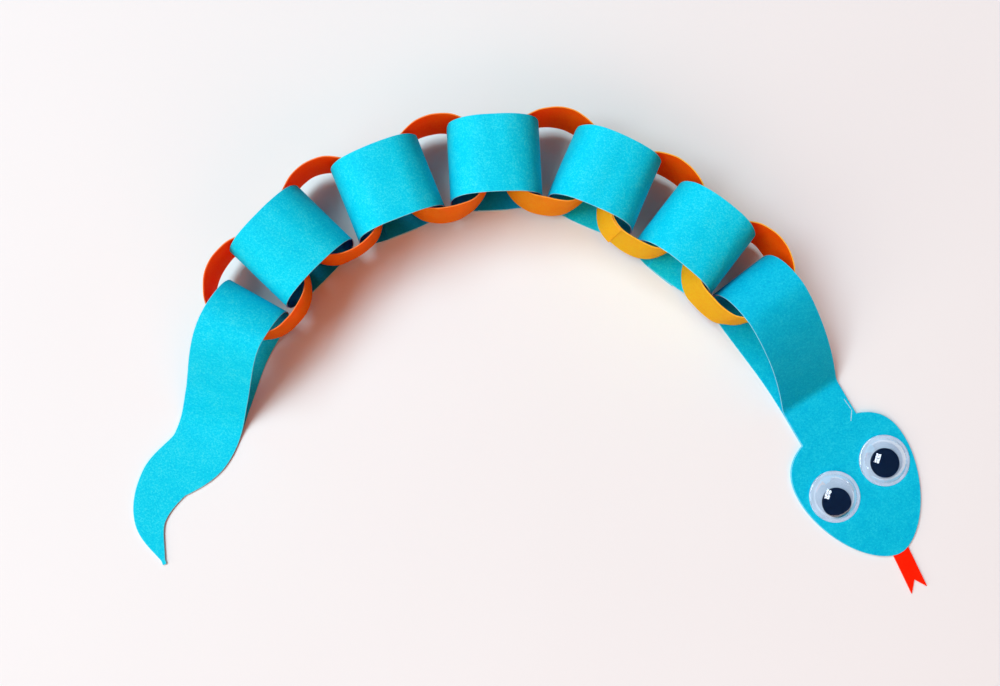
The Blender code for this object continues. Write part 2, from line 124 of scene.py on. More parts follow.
steps = [ringSteps(i) for i in range(6)]
tightest = min(before[1][0] + after[0][0] for before, after in zip(steps, steps[1:]))
loopLength = 2 * chain["ringRadius"] + chain["ringsApart"] - tightest
halfLength = (loopLength - paper["thick"]) / 2
margin = paper["thick"] / 2 + chain["edgeRoom"]


# How much of its half height a bent strip has where its ring crosses its edge, inside the margin.
def riseAtRing(width, stripEnd):
    along, side = stripEnd
    reach = np.sqrt((chain["ringRadius"] - paper["thick"]) ** 2 - (width / 2 + abs(side)) ** 2) - along
    share = (loopLength / 2 - reach) / (halfLength - margin)
    return (1 - share ** chain["squareness"]) ** (1 / chain["squareness"])


loopEnds = [before for before, _ in steps[1:]] + [after for _, after in steps[:-1]]
least = min(riseAtRing(chain["loopWidth"], end) for end in loopEnds)
halfHeight = chain["ringWidth"] / 2 / least + margin
loopMiddle = halfHeight + paper["standOff"] + paper["thick"] / 2
ringTop = loopMiddle + chain["ringWidth"] / 2


# Half the height of an end strip's fold: it starts on the table and clears its ring's top edge.
def foldHalf(width, stripEnd):
    rise = riseAtRing(width, stripEnd)
    return (ringTop - paper["thick"] / 2 + margin * rise) / (1 + rise)


tailFold = foldHalf(chain["tailWidth"], steps[0][0])
neckFold = foldHalf(chain["neckWidth"], steps[5][1])

# The chain laid out on the table: each ring's middle, each strip's start and its heading.
headings = [chain["heading"]]
ringPlaces, stripStarts = [], [np.array(chain["start"])]
end = np.array(chain["start"])
for (turn, _, _, _, _), (stepOut, stepIn) in zip(chain["links"], steps):
    ringPlaces.append(end + turned(stepOut, headings[-1]))
    headings.append(headings[-1] + turn)
    stripStarts.append(ringPlaces[-1] + turned(stepIn, headings[-1]))
    end = stripStarts[-1] + turned((loopLength, 0.0), headings[-1])
print("stage: chain laid out, loop", round(loopLength, 2), "by", round(2 * halfHeight, 2),
      "folds", round(2 * tailFold, 2), "and", round(2 * neckFold, 2))


# A node's input takes a plain value, or a link where the value is another node's output.
def setInputs(tree, node, values):
    for key, value in values.items():
        if isinstance(value, bpy.types.NodeSocket):
            tree.links.new(value, node.inputs[key])
        else:
            node.inputs[key].default_value = value


def addNode(tree, kind, values=None, **settings):
    node = tree.nodes.new(kind)
    for key, value in settings.items():
        setattr(node, key, value)
    setInputs(tree, node, values or {})
    return node


# A Mix node's colour sockets go by their numbers, as its other kinds have the same names.
def colorMix(tree, factor, first, second):
    return addNode(tree, "ShaderNodeMix", {0: factor, 6: first, 7: second}, data_type="RGBA").outputs[2]


def mapped(tree, value, low, high, first=0.0, last=1.0):
    return addNode(tree, "ShaderNodeMapRange", {
        "Value": value, "From Min": low, "From Max": high, "To Min": first, "To Max": last}).outputs[0]


def calc(tree, operation, *values):
    return addNode(tree, "ShaderNodeMath", dict(enumerate(values)), operation=operation).outputs[0]


def objectCoords(tree):
    return addNode(tree, "ShaderNodeTexCoord").outputs["Object"]


def noiseAt(tree, coords, scale, detail, rough=0.5):
    return addNode(tree, "ShaderNodeTexNoise", {
        "Vector": coords, "Scale": scale, "Detail": detail, "Roughness": rough}).outputs["Fac"]


def newMaterial(name):
    mat = bpy.data.materials.new(name)
    mat.use_nodes = True
    return mat, mat.node_tree, mat.node_tree.nodes["Principled BSDF"]


def startGroup(name, inputs, outputs):
    tree = bpy.data.node_groups.new(name, "ShaderNodeTree")
    for label, kind, value in inputs:
        socket = tree.interface.new_socket(name=label, in_out="INPUT", socket_type=kind)
        if value is not None:
            socket.default_value = value
    for label, kind in outputs:
        tree.interface.new_socket(name=label, in_out="OUTPUT", socket_type=kind)
    return tree, tree.nodes.new("NodeGroupInput").outputs, tree.nodes.new("NodeGroupOutput").inputs


grain = {
    # noises: scale and detail
    "clouds": (170.0, 2.0),       # about 6 mm
    "mottle": (1500.0, 3.0),      # about 0.7 mm
    "tooth": (3400.0, 2.0),       # about 0.3 mm
    "fibres": (900.0, 5.0),
    "roughness": 0.62,
    "cloudShare": 0.35,
    # the sum of clouds, mottling and tooth where the paper is deepest, its own colour and palest
    "deepest": 0.87, "middle": 1.17, "palest": 1.47,
    "fibreSpan": (0.66, 0.74),
    # distances from a cut over which it turns paler, and the mottling's span where that happens
    "palingSpan": (0.22, 0.02), "palingPatches": (0.35, 0.6),
    "relief": 0.04,
}


# Grain of dyed paper: colour = the sheet's own, drawn to its deep and its pale shade where clouds, mottling
# and tooth add up to little or much, with a few deep fibres and patches paler close to its cuts; height = the
# same sum.
def makePaperGrain():
    tree, given, result = startGroup("paperGrain", (
        ("Color", "NodeSocketColor", None), ("Deep", "NodeSocketColor", None),
        ("Pale", "NodeSocketColor", None), ("Mottle", "NodeSocketFloat", 0.5),
        ("Fibres", "NodeSocketFloat", 0.3), ("Edge", "NodeSocketFloat", 1.0),
    ), (("Color", "NodeSocketColor"), ("Height", "NodeSocketFloat")))
    coords = objectCoords(tree)
    clouds, mottle, tooth, fibres = (
        noiseAt(tree, coords, *grain[kind], grain["roughness"])
        for kind in ("clouds", "mottle", "tooth", "fibres"))
    soft = calc(tree, "MULTIPLY_ADD", clouds, grain["cloudShare"], mottle)
    both = calc(tree, "ADD", soft, tooth)
    deepShare = calc(tree, "MULTIPLY", mapped(tree, both, grain["middle"], grain["deepest"]), given["Mottle"])
    paleShare = calc(tree, "MULTIPLY", mapped(tree, both, grain["middle"], grain["palest"]), given["Mottle"])
    fibreShare = calc(tree, "MULTIPLY", mapped(tree, fibres, *grain["fibreSpan"]), given["Fibres"])
    nearCutPaling = calc(tree, "MULTIPLY", mapped(tree, given["Edge"], *grain["palingSpan"]),
                  mapped(tree, mottle, *grain["palingPatches"]))
    color = colorMix(tree, deepShare, given["Color"], given["Deep"])
    color = colorMix(tree, paleShare, color, given["Pale"])
    color = colorMix(tree, fibreShare, color, given["Deep"])
    color = colorMix(tree, nearCutPaling, color, given["Pale"])
    tree.links.new(color, result["Color"])
    tree.links.new(both, result["Height"])
    return tree


paperGrain = makePaperGrain()

papers = {
    "blue": {
        "color": (0.002, 0.80, 0.97), "deep": (0.0, 0.63, 0.88), "pale": (0.05, 0.92, 1.0),
        "cut": (0.28, 0.82, 0.95), "cutDeep": (0.08, 0.66, 0.88),
        "mottle": 0.8, "fibres": 0.2, "rough": 0.6, "specular": 0.06, "bump": 0.6,
        "glow": (0.0, 0.28, 0.95), "thin": 0.20,
    },
    "orange": {
        "color": (1.0, 0.21, 0.002), "deep": (0.95, 0.14, 0.001), "pale": (1.0, 0.28, 0.006),
        "cut": (1.0, 0.36, 0.06), "cutDeep": (0.95, 0.22, 0.02),
        "mottle": 0.9, "fibres": 0.2, "rough": 0.6, "specular": 0.03, "bump": 0.5,
        "glow": (1.0, 0.030, 0.0), "thin": 0.50,
    },
    "red": {
        "color": (1.0, 0.016, 0.001), "deep": (0.90, 0.010, 0.001), "pale": (1.0, 0.03, 0.006),
        "cut": (0.95, 0.14, 0.07), "cutDeep": (0.90, 0.06, 0.03),
        "mottle": 0.7, "fibres": 0.15, "rough": 0.6, "specular": 0.04, "bump": 0.4,
        "glow": (0.95, 0.02, 0.0), "thin": 0.15,
    },
}


def paperMaterial(name, look, color, deep, pale):
    mat, tree, shader = newMaterial(name)
    edge = addNode(tree, "ShaderNodeAttribute", attribute_name="edge").outputs["Fac"]
    group = addNode(tree, "ShaderNodeGroup", {
        "Color": (*color, 1.0), "Deep": (*deep, 1.0), "Pale": (*pale, 1.0),
        "Mottle": look["mottle"], "Fibres": look["fibres"], "Edge": edge,
    }, node_tree=paperGrain)
    bump = addNode(tree, "ShaderNodeBump", {
        "Strength": look["bump"], "Distance": grain["relief"] * mm, "Height": group.outputs["Height"]})
    setInputs(tree, shader, {
        "Base Color": group.outputs["Color"], "Normal": bump.outputs["Normal"],
        "Roughness": look["rough"], "Specular IOR Level": look["specular"]})
    # thin paper glows where light falls on its other side
    glow = addNode(tree, "ShaderNodeBsdfTranslucent", {"Color": (*look["glow"], 1.0)})
    both = addNode(tree, "ShaderNodeMixShader", {
        "Fac": look["thin"], 1: shader.outputs[0], 2: glow.outputs[0]})
    setInputs(tree, tree.nodes["Material Output"], {"Surface": both.outputs[0]})
    return mat


def sheetMaterials(name, look):
    return [paperMaterial(name + "Sheet", look, look["color"], look["deep"], look["pale"]),
            paperMaterial(name + "Cut", look, look["cut"], look["cutDeep"], look["cut"])]


sheets = {kind: sheetMaterials(kind, look) for kind, look in papers.items()}


# A ring's looks: its outer side is a copy of the orange paper with its own share of green, from orange to
# amber, as painted light for how brightly that ring's outer wall is lit; its inner side is the plain orange
# paper.
def ringLooks(number, green):
    outer = dict(
        papers["orange"],
        color=(1.0, green, 0.02 * green),
        deep=(0.95, 0.68 * green, 0.01 * green),
        pale=(1.0, min(1.3 * green, 1.0), 0.04 * green),
        cut=(1.0, min(0.2 + green, 1.0), 0.10),
        cutDeep=(0.97, min(0.1 + green, 1.0), 0.04))
    return sheetMaterials(f"ring{number}", outer) + sheets["orange"][:1]


# Painted shade: the inner sides of the first few loops, as many as loopPaper gives, take a deeper copy of the
# blue paper than their outer sides.
shadedInnerBlue = paperMaterial(
    "blueInnerPaintedShade", papers["blue"], (0.0, 0.42, 0.72), (0.0, 0.34, 0.62), (0.01, 0.52, 0.80))
print("stage: paper materials")


# Soft unevenness of a sheet: slow waves along the strip, their crests a little askew.
def ripple(along, across, seed):
    rng = np.random.default_rng(seed)
    height = np.zeros_like(along)
    for length in paper["rippleWaves"]:
        skew, phase = rng.uniform(-paper["askew"], paper["askew"]), rng.uniform(0, 2 * np.pi)
        size = paper["ripple"] * (length / paper["rippleWaves"][0])
        height += size * np.sin(2 * np.pi * (along + skew * across) / length + phase)
    return height


# Shares of the width from -1 to 1, close together at the cut edges.
def acrossShares(halfWidth, count):
    near = np.array(paper["edgeRows"]) / halfWidth
    start = paper["evenFrom"] / halfWidth
    return np.concatenate([-1 + near, np.linspace(-1 + start, 1 - start, count), 1 - near[::-1]])


# A closed sheet body from a grid of points on its middle surface: both faces half the thickness away along
# the surface normal, and a rim whose middle stands out a little, all round the grid's border.
# Looks: the sheet, its cuts, and its lower side where that differs.
def sheetBody(name, points, along, across, half, looks, lift=None, quietEnds=False):
    n, m = points.shape[:2]
    normal = np.cross(np.gradient(points, axis=0), np.gradient(points, axis=1))
    normal /= np.linalg.norm(normal, axis=2, keepdims=True)
    if lift is not None:
        points = points + normal * lift[..., None]
    index = np.arange(n * m).reshape(n, m)
    border = np.concatenate([index[:-1, 0], index[-1, :-1], index[:0:-1, -1], index[0, :0:-1]])
    flat, flatNormal = points.reshape(-1, 3), normal.reshape(-1, 3)
    around = flat[border]
    tangent = np.roll(around, -1, axis=0) - np.roll(around, 1, axis=0)
    tangent /= np.linalg.norm(tangent, axis=1, keepdims=True)
    outward = np.cross(tangent, flatNormal[border])
    verts = np.concatenate([
        flat + flatNormal * paper["thick"] / 2,
        flat - flatNormal * paper["thick"] / 2,
        around + outward * paper["edgeRound"]])

    lower, rim = n * m, 2 * n * m
    a, b, c, d = index[:-1, :-1], index[1:, :-1], index[1:, 1:], index[:-1, 1:]
    upperFaces = np.stack([a, b, c, d], -1).reshape(-1, 4)
    lowerFaces = np.stack([a, d, c, b], -1).reshape(-1, 4) + lower
    k = np.arange(len(border))
    following = np.roll(k, -1)
    rimUpper = np.stack([border, rim + k, rim + following, border[following]], -1)
    rimLower = np.stack([rim + k, lower + border, lower + border[following], rim + following], -1)
    faces = np.concatenate([upperFaces, lowerFaces, rimUpper, rimLower])

    rims = np.ones(len(k), int)
    nearCut = half.ravel() - np.abs(across.ravel())
    if quietEnds:
        # the ends of a glued overlap keep the sheet's own colour
        rims[n - 1:n + m - 2] = 0
        rims[2 * n + m - 3:] = 0
    else:
        fromEnd = np.minimum(along - along.min(), along.max() - along)
        nearCut = np.minimum(nearCut, fromEnd.ravel())
    lowerLook = 2 if len(looks) > 2 else 0
    kinds = np.concatenate([np.zeros(len(upperFaces), int), np.full(len(lowerFaces), lowerLook), rims, rims])
    uv = np.stack([along.ravel(), across.ravel()], -1) / paper["mapUnit"]
    uv = np.concatenate([uv, uv, uv[border]])
    edge = np.concatenate([nearCut, nearCut, np.zeros(len(k))])
    return meshObject(name, verts, faces, looks, kinds, uv, edge)


# A mesh object at the origin from whole arrays, with its map and its distance from the cut edges.
def meshObject(name, verts, faces, looks, kinds=None, uv=None, edge=None, sharp=48.0):
    mesh = bpy.data.meshes.new(name)
    mesh.from_pydata((np.asarray(verts) * mm).tolist(), [], [list(map(int, f)) for f in faces])
    for look in looks:
        mesh.materials.append(look)
    if kinds is not None:
        mesh.polygons.foreach_set("material_index", np.asarray(kinds, np.int32))
    mesh.polygons.foreach_set("use_smooth", np.ones(len(mesh.polygons), bool))
    if uv is not None:
        corner = np.empty(len(mesh.loops), np.int32)
        mesh.loops.foreach_get("vertex_index", corner)
        mesh.uv_layers.new(name="strip").data.foreach_set("uv", uv[corner].ravel())
    if edge is not None:
        values = np.asarray(edge, np.float32)
        mesh.attributes.new("edge", "FLOAT", "POINT").data.foreach_set("value", values)
    mesh.set_sharp_from_angle(angle=np.radians(sharp))
    mesh.update()
    piece = bpy.data.objects.new(name, mesh)
    bpy.context.scene.collection.objects.link(piece)
    return piece


def place(piece, body, node):
    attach(piece, body)
    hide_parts(node)


# How far a glued end stands outside its own first turn.
def lapOffset(done, girth):
    return paper["standOff"] * eased((done - girth + paper["ramp"]) / paper["ramp"])


# Half a hand-cut strip's width, which wanders a little along it.
def cutHalf(width, along, seed):
    rng = np.random.default_rng(seed)
    a, b = rng.uniform(0, 2 * np.pi, 2)
    slow, quick = paper["wanderWaves"]
    waves = np.sin(along / slow + a) + paper["quickShare"] * np.sin(along / quick + b)
    return width / 2 + paper["wander"] * waves


# the last number: how many of the first loops get painted shade on their inner sides
loopPaper = {"along": 190, "across": 15, "paintedShadeLoops": 3}


# A loop: superellipse upright along the snake, carried straight across it; its ends overlap on the table.
def makeLoop(number):
    oval = (halfLength, halfHeight, chain["squareness"])
    bottom = 1.5 * np.pi
    fine, reached = ovalLengths(oval, bottom, bottom + 2 * np.pi)
    girth = reached[-1]
    lap = np.interp(paper["overlap"] / 2, reached, fine) - bottom
    angles = evenAngles(oval, bottom - lap, bottom + 2 * np.pi + lap, loopPaper["along"])
    done = np.linspace(0.0, girth + paper["overlap"], len(angles))
    x, z = ovalPoint(angles, oval[0], oval[1] + lapOffset(done, girth), oval[2])
    half = cutHalf(chain["loopWidth"], done, seeds["loopCut"] + number)[:, None]
    across = half * acrossShares(chain["loopWidth"] / 2, loopPaper["across"])
    way = np.radians(headings[number])
    run = (x + loopLength / 2)[:, None] + 0 * across
    start = stripStarts[number]
    points = np.stack([
        start[0] + run * np.cos(way) - across * np.sin(way),
        start[1] + run * np.sin(way) + across * np.cos(way),
        (z + loopMiddle)[:, None] + 0 * across], -1)
    along = done[:, None] + 0 * across
    blue, cut = sheets["blue"]
    # the first loops' inner sides take the painted-shade copy of the blue paper
    looks = [shadedInnerBlue if number <= loopPaper["paintedShadeLoops"] else blue, cut, blue]
    piece = sheetBody(f"loopPaper{number}", points, along, across, half + 0 * across,
                      looks, ripple(along, across, seeds["loopRipple"] + number), quietEnds=True)
    place(piece, f"blue_{number}", f"blue_ring_{number}")


ringPaper = {
    "along": 170, "across": 14, "reach": 36.0,
    # painted light: each ring's share of green on its outer side, rising to amber on the rings whose outer
    # walls are lit most brightly
    "paintedLightGreens": (0.30, 0.28, 0.36, 0.56, 0.97, 0.87),
    # how far each ring's wall is pressed in, at its bottom and its top, on its right and its left side
    "right": ((0.4, 0.9), (0.9, 0.2), (0.0, 0.7), (0.4, 1.2), (0.6, 0.7), (0.95, 1.1)),
    "left": ((0.3, 0.0), (-0.4, 0.0), (0.6, 0.2), (0.2, 0.0), (0.8, 0.3), (0.0, 0.0)),
}


# How far a ring's wall is pressed in: a smooth hump round a bearing, its height going evenly from the first
# amount at the bottom to the second at the top.
def pressed(angle, height, bearing, amounts):
    off = (np.degrees(angle) - bearing + 180.0) % 360.0 - 180.0
    hump = np.clip(1 - (off / ringPaper["reach"]) ** 2, 0.0, 1.0) ** 2
    share = height / chain["ringWidth"] + 0.5
    return hump[:, None] * (amounts[0] + (amounts[1] - amounts[0]) * share)


# A ring: circle round the upright axis, carried straight up; its ends overlap at the glued place.
def makeRing(number):
    radius = chain["ringRadius"] - paper["thick"] / 2
    girth = 2 * np.pi * radius
    done = np.linspace(0.0, girth + paper["overlap"], ringPaper["along"] + 1)
    seam = np.radians(headings[number] + chain["links"][number - 1][4])
    angle = (done - paper["overlap"] / 2) / radius + seam
    half = cutHalf(chain["ringWidth"], done, seeds["ringCut"] + number)[:, None]
    across = half * acrossShares(chain["ringWidth"] / 2, ringPaper["across"])
    middle = ringPlaces[number - 1]
    way = (headings[number - 1] + headings[number]) / 2
    reach = (radius + lapOffset(done, girth))[:, None]
    for bearing, side in ((way - 90, "right"), (way + 90, "left")):
        reach = reach - pressed(angle, across, bearing, ringPaper[side][number - 1])
    points = np.stack([
        middle[0] + reach * np.cos(angle)[:, None],
        middle[1] + reach * np.sin(angle)[:, None],
        loopMiddle + across], -1)
    along = done[:, None] + 0 * across
    looks = ringLooks(number, ringPaper["paintedLightGreens"][number - 1])
    piece = sheetBody(f"ringPaper{number}", points, along, across, half + 0 * across,
                      looks, ripple(along, across, seeds["ringRipple"] + number), quietEnds=True)
    place(piece, f"orange_{number}", f"orange_ring_{number}")


for number in range(1, 6):
    makeLoop(number)
for number in range(1, 7):
    makeRing(number)
print("stage: loops and rings")

folding = {"routeStep": 0.2, "curveSteps": 120, "fallStep": 0.1, "fallPast": 5.0, "softSteps": 24}


# A strip's middle line on the table: points at even distances from its fold, in its own frame.
def routeLine(points):
    points = np.asarray(points, float)
    reached = np.concatenate([[0.0], np.cumsum(np.hypot(*np.diff(points, axis=0).T))])
    marks = np.arange(0.0, reached[-1] + 1e-9, folding["routeStep"])
    marks = np.append(marks, reached[-1]) if reached[-1] - marks[-1] > 1e-6 else marks
    even = np.stack([np.interp(marks, reached, points[:, i]) for i in (0, 1)], -1)
    way = np.unwrap(np.arctan2(np.gradient(even[:, 1], marks), np.gradient(even[:, 0], marks)))
    return marks, even, way


# Smooth curve through knots (Catmull-Rom), as fine points.
def smoothCurve(knots):
    known = np.asarray(knots, float)
    ends = np.vstack([2 * known[0] - known[1], known, 2 * known[-1] - known[-2]])
    parts = []
    t = np.linspace(0.0, 1.0, folding["curveSteps"] + 1)[:-1, None]
    for a, b, c, d in zip(ends, ends[1:], ends[2:], ends[3:]):
        parts.append((2 * b + (c - a) * t + (2 * a - 5 * b + 4 * c - d) * t**2
                      + (3 * b - a - 3 * c + d) * t**3) / 2)
    return np.vstack(parts + [known[-1:]])


# How far the upper layer has come down at fine distances from the fold: the slope's share of the whole fall,
# its landing rounded by a running mean over a few millimetres.
def fallLine(length, whole, shape):
    fine = np.arange(0.0, length + folding["fallPast"], folding["fallStep"])
    share = np.clip((fine - shape["slopeStart"]) / (shape["slopeEnd"] - shape["slopeStart"]), 0.0, 1.0)
    bell = np.hanning(2 * folding["softSteps"] + 1)
    fall = np.pad(whole * shape["slope"](share), folding["softSteps"], mode="edge")
    return fine, np.convolve(fall, bell / bell.sum(), mode="valid")


# A folded strip: profile of (distance from the fold, height) that comes in along the table, turns up and
# over as half a superellipse, slopes down and lies on the lower layer; each profile point is carried across
# to the strip's half width, square to the route.
def makeFolded(name, start, heading, route, stations, halfWidth, halfFold, shape, looks):
    marks, even, way = route
    low = paper["thick"] / 2
    top = low + 2 * halfFold
    angles = evenAngles((halfLength, halfFold, chain["squareness"]), 1.5 * np.pi, 0.5 * np.pi, shape["fold"])
    x, z = ovalPoint(angles[1:-1], halfLength, halfFold, chain["squareness"])
    foldDistance = x + loopLength / 2
    fine, fall = fallLine(marks[-1], top - shape["lapped"], shape)
    distance = np.concatenate([stations[::-1], foldDistance, stations])
    height = np.concatenate([
        np.full(len(stations), low),
        z + halfFold + low - np.where(z > 0, np.interp(foldDistance, fine, fall), 0.0),
        top - np.interp(stations, fine, fall)])
    half = halfWidth(distance)[:, None]
    done = np.concatenate([[0.0], np.cumsum(np.hypot(np.diff(distance), np.diff(height)))])
    across = half * acrossShares(shape["widest"] / 2, shape["across"])
    turn = np.interp(distance, marks, way)[:, None]
    px = np.interp(distance, marks, even[:, 0])[:, None] - across * np.sin(turn)
    py = np.interp(distance, marks, even[:, 1])[:, None] + across * np.cos(turn)
    a = np.radians(heading)
    points = np.stack([
        start[0] + px * np.cos(a) - py * np.sin(a),
        start[1] + px * np.sin(a) + py * np.cos(a),
        height[:, None] + 0 * across], -1)
    along = done[:, None] + 0 * across
    return sheetBody(name, points, along, across, half + 0 * across, looks)


# The middle line's points are (back, left) of the fold.
tailPaper = {
    "route": ((0, 0), (15, 0.4), (30, -1.8), (45, -3.8), (57.5, 0.6), (69, -1.0), (77.8, -10.3)),
    "taperStart": 38.5, "tip": 1.0, "slopeStart": 9.5, "slopeEnd": 40.5, "slope": eased, "lapped": 0.55,
    "fold": 90, "across": 15, "widest": 17.4, "step": 0.6,
}


def makeTail():
    shape = tailPaper
    route = routeLine(smoothCurve([(-back, left) for back, left in shape["route"]]))
    length = route[0][-1]

    def halfWidth(distance):
        share = np.clip((distance - shape["taperStart"]) / (length - shape["taperStart"]), 0.0, 1.0)
        return np.maximum(shape["widest"] * (1 - share * share), shape["tip"]) / 2

    stations = np.linspace(loopLength / 2, length, round((length - loopLength / 2) / shape["step"]) + 1)
    piece = makeFolded("tailPaper", stripStarts[0], headings[0], route, stations, halfWidth,
                       tailFold, shape, sheets["blue"])
    place(piece, "tail", "tail_strip")


headPaper = {
    "neck": 51.9, "straight": 24.2, "turn": -6.7, "turnLength": 19.0, "lapped": 0.95, "routeSteps": 480,
    "slopeStart": 10.5, "slopeEnd": 41.5, "slope": lambda share: share ** 1.5,
    "widest": 36.9, "back": 15.0, "backSquareness": 2.6, "front": 27.4, "frontSquareness": 1.72, "snout": 1.6,
    "fold": 90, "across": 29, "step": 0.6, "backSteps": 26, "frontSteps": 54,
    # painted shade: the head's own, deep and pale blue, a darker copy of the blue paper
    "color": (0.001, 0.64, 0.85), "deep": (0.0, 0.48, 0.76), "pale": (0.02, 0.78, 0.93),
}

# The torn lines in the corner between the neck and the head: the middle, bearing and length of each.
tears = {
    "lines": (((91.07, -12.70), -54.8, 3.4), ((92.14, -15.98), -96.1, 3.3)),
    "width": 0.2, "waves": (1400.0, 1.0), "color": (0.45, 0.84, 0.94, 1.0),
}


def headRoute():
    shape = headPaper
    length = shape["neck"] + shape["back"] + shape["front"]
    marks = np.linspace(0.0, length, shape["routeSteps"] + 1)
    turn = np.radians(shape["turn"]) * np.clip((marks - shape["straight"]) / shape["turnLength"], 0.0, 1.0)
    middle = (turn[1:] + turn[:-1]) / 2
    step = np.diff(marks)
    return routeLine(np.stack([
        np.concatenate([[0.0], np.cumsum(step * np.cos(middle))]),
        np.concatenate([[0.0], np.cumsum(step * np.sin(middle))])], -1))


# The neck's width, or the egg's where that is wider: two superellipse halves that meet at the widest place.
def headHalfWidth(distance):
    shape = headPaper
    widest = shape["neck"] + shape["back"]
    behind = np.clip((widest - distance) / shape["back"], 0.0, 1.0)
    ahead = np.clip((distance - widest) / shape["front"], 0.0, 1.0)
    egg = np.where(distance <= widest,
                   (1 - behind ** shape["backSquareness"]) ** (1 / shape["backSquareness"]),
                   (1 - ahead ** shape["frontSquareness"]) ** (1 / shape["frontSquareness"]))
    least = np.where(distance <= widest, chain["neckWidth"], shape["snout"])
    return np.maximum(shape["widest"] * egg, least) / 2


# Even steps down the neck, then steps that are even round the egg's outline.
def headStations():
    shape = headPaper
    widest = shape["neck"] + shape["back"]
    back = (shape["back"], shape["widest"] / 2, shape["backSquareness"])
    front = (shape["front"], shape["widest"] / 2, shape["frontSquareness"])
    join = np.arcsin((chain["neckWidth"] / shape["widest"]) ** (back[2] / 2))
    tip = np.arcsin((shape["snout"] / shape["widest"]) ** (front[2] / 2))
    joinAt = widest - ovalPoint(join, *back)[0]
    neck = np.linspace(loopLength / 2, joinAt, round((joinAt - loopLength / 2) / shape["step"]) + 1)
    behind = widest - ovalPoint(evenAngles(back, join, np.pi / 2, shape["backSteps"])[1:], *back)[0]
    ahead = widest + ovalPoint(evenAngles(front, np.pi / 2, tip, shape["frontSteps"])[1:], *front)[0]
    return np.concatenate([neck, behind, ahead])


# The head's sheet: a darker copy of the blue paper, as painted shade, with short torn lines, each an uneven
# whitish streak of its length.
def headSheet():
    shades = [headPaper[key] for key in ("color", "deep", "pale")]
    mat = paperMaterial("blueHeadSheet", papers["blue"], *shades)
    tree = mat.node_tree
    coords = objectCoords(tree)
    wave = noiseAt(tree, coords, *tears["waves"])
    color = next(node for node in tree.nodes if node.type == "GROUP").outputs["Color"]
    for (x, y), bearing, length in tears["lines"]:
        line = addNode(tree, "ShaderNodeMapping", {
            "Vector": coords, "Location": (x * mm, y * mm, 0.0), "Rotation": (0.0, 0.0, np.radians(bearing)),
        }, vector_type="TEXTURE")
        parts = addNode(tree, "ShaderNodeSeparateXYZ", {0: line.outputs[0]}).outputs
        width = calc(tree, "MULTIPLY", wave, tears["width"] * mm)
        narrow = calc(tree, "LESS_THAN", calc(tree, "ABSOLUTE", parts["Y"]), width)
        short = calc(tree, "LESS_THAN", calc(tree, "ABSOLUTE", parts["X"]), length / 2 * mm)
        color = colorMix(tree, calc(tree, "MULTIPLY", narrow, short), color, tears["color"])
    setInputs(tree, tree.nodes["Principled BSDF"], {"Base Color": color})
    return mat


def makeHead():
    piece = makeFolded("headPaper", stripStarts[6], headings[6], headRoute(), headStations(), headHalfWidth,
                       neckFold, headPaper, [headSheet(), sheets["blue"][1]])
    place(piece, "head", "head_strip")


# A point on the table beside the head's route, in the world, and the route's heading there.
def besideHead(distance, left):
    marks, even, way = headRoute()
    turn = np.interp(distance, marks, way)
    spot = np.array([np.interp(distance, marks, even[:, 0]), np.interp(distance, marks, even[:, 1])])
    spot = spot + left * np.array([-np.sin(turn), np.cos(turn)])
    return stripStarts[6] + turned(spot, headings[6]), headings[6] + np.degrees(turn)


makeTail()
makeHead()
print("stage: tail and head")

tongueShape = {
    "width": 5.1, "out": 12.1, "inside": 8.0, "notch": 3.4, "slant": -5.0,
    "base": 0.55,          # between the head's two layers
    "along": 41, "across": 13,
}


# The tongue: a narrow strip whose end line runs back by the notch in the middle and forward at both sides.
def makeTongue():
    shape = tongueShape
    spot, heading = besideHead(headPaper["neck"] + headPaper["back"] + headPaper["front"], 0.0)
    shares = np.linspace(-1.0, 1.0, shape["across"])
    run = np.linspace(0.0, 1.0, shape["along"])[:, None]
    reach = shape["out"] - shape["notch"] * (1 - np.abs(shares))
    along = -shape["inside"] + run * (reach + shape["inside"])
    across = shape["width"] / 2 * shares + 0 * run
    a = np.radians(heading + shape["slant"])
    points = np.stack([
        spot[0] + along * np.cos(a) - across * np.sin(a),
        spot[1] + along * np.sin(a) + across * np.cos(a),
        shape["base"] + 0 * along], -1)
    piece = sheetBody("tonguePaper", points, along, across, shape["width"] / 2 + 0 * along, sheets["red"])
    place(piece, "head", "tongue")


makeTongue()
print("stage: tongue")

eye = {
    "radius": 7.5, "spacing": 18.4, "forward": 2.6, "side": 0.15, "slant": 4.2,
    "base": 1.2,           # the head's upper side and the glue on it
    "disc": 0.5, "discRounding": 0.12, "glue": 0.1,
    "flange": 0.7, "domeHeight": 4.2, "wall": 0.4,
    "rim": ((0.12, 0.0), (0.03, 0.04), (0.0, 0.13)),     # inward and down from the flange's upper corner
    "pupilRadius": 4.25, "pupilThick": 0.6, "pupilRounding": 0.2, "pupilGap": 0.15,
    # how far each pupil has slid from its eye's middle, and on which bearing from the snout's
    "pupils": {"left": (0.65, -38.0), "right": (1.65, -19.0)},
    "around": 96, "capPoints": 31, "roundingPoints": 7, "discRows": 5, "underRow": 0.6,
}


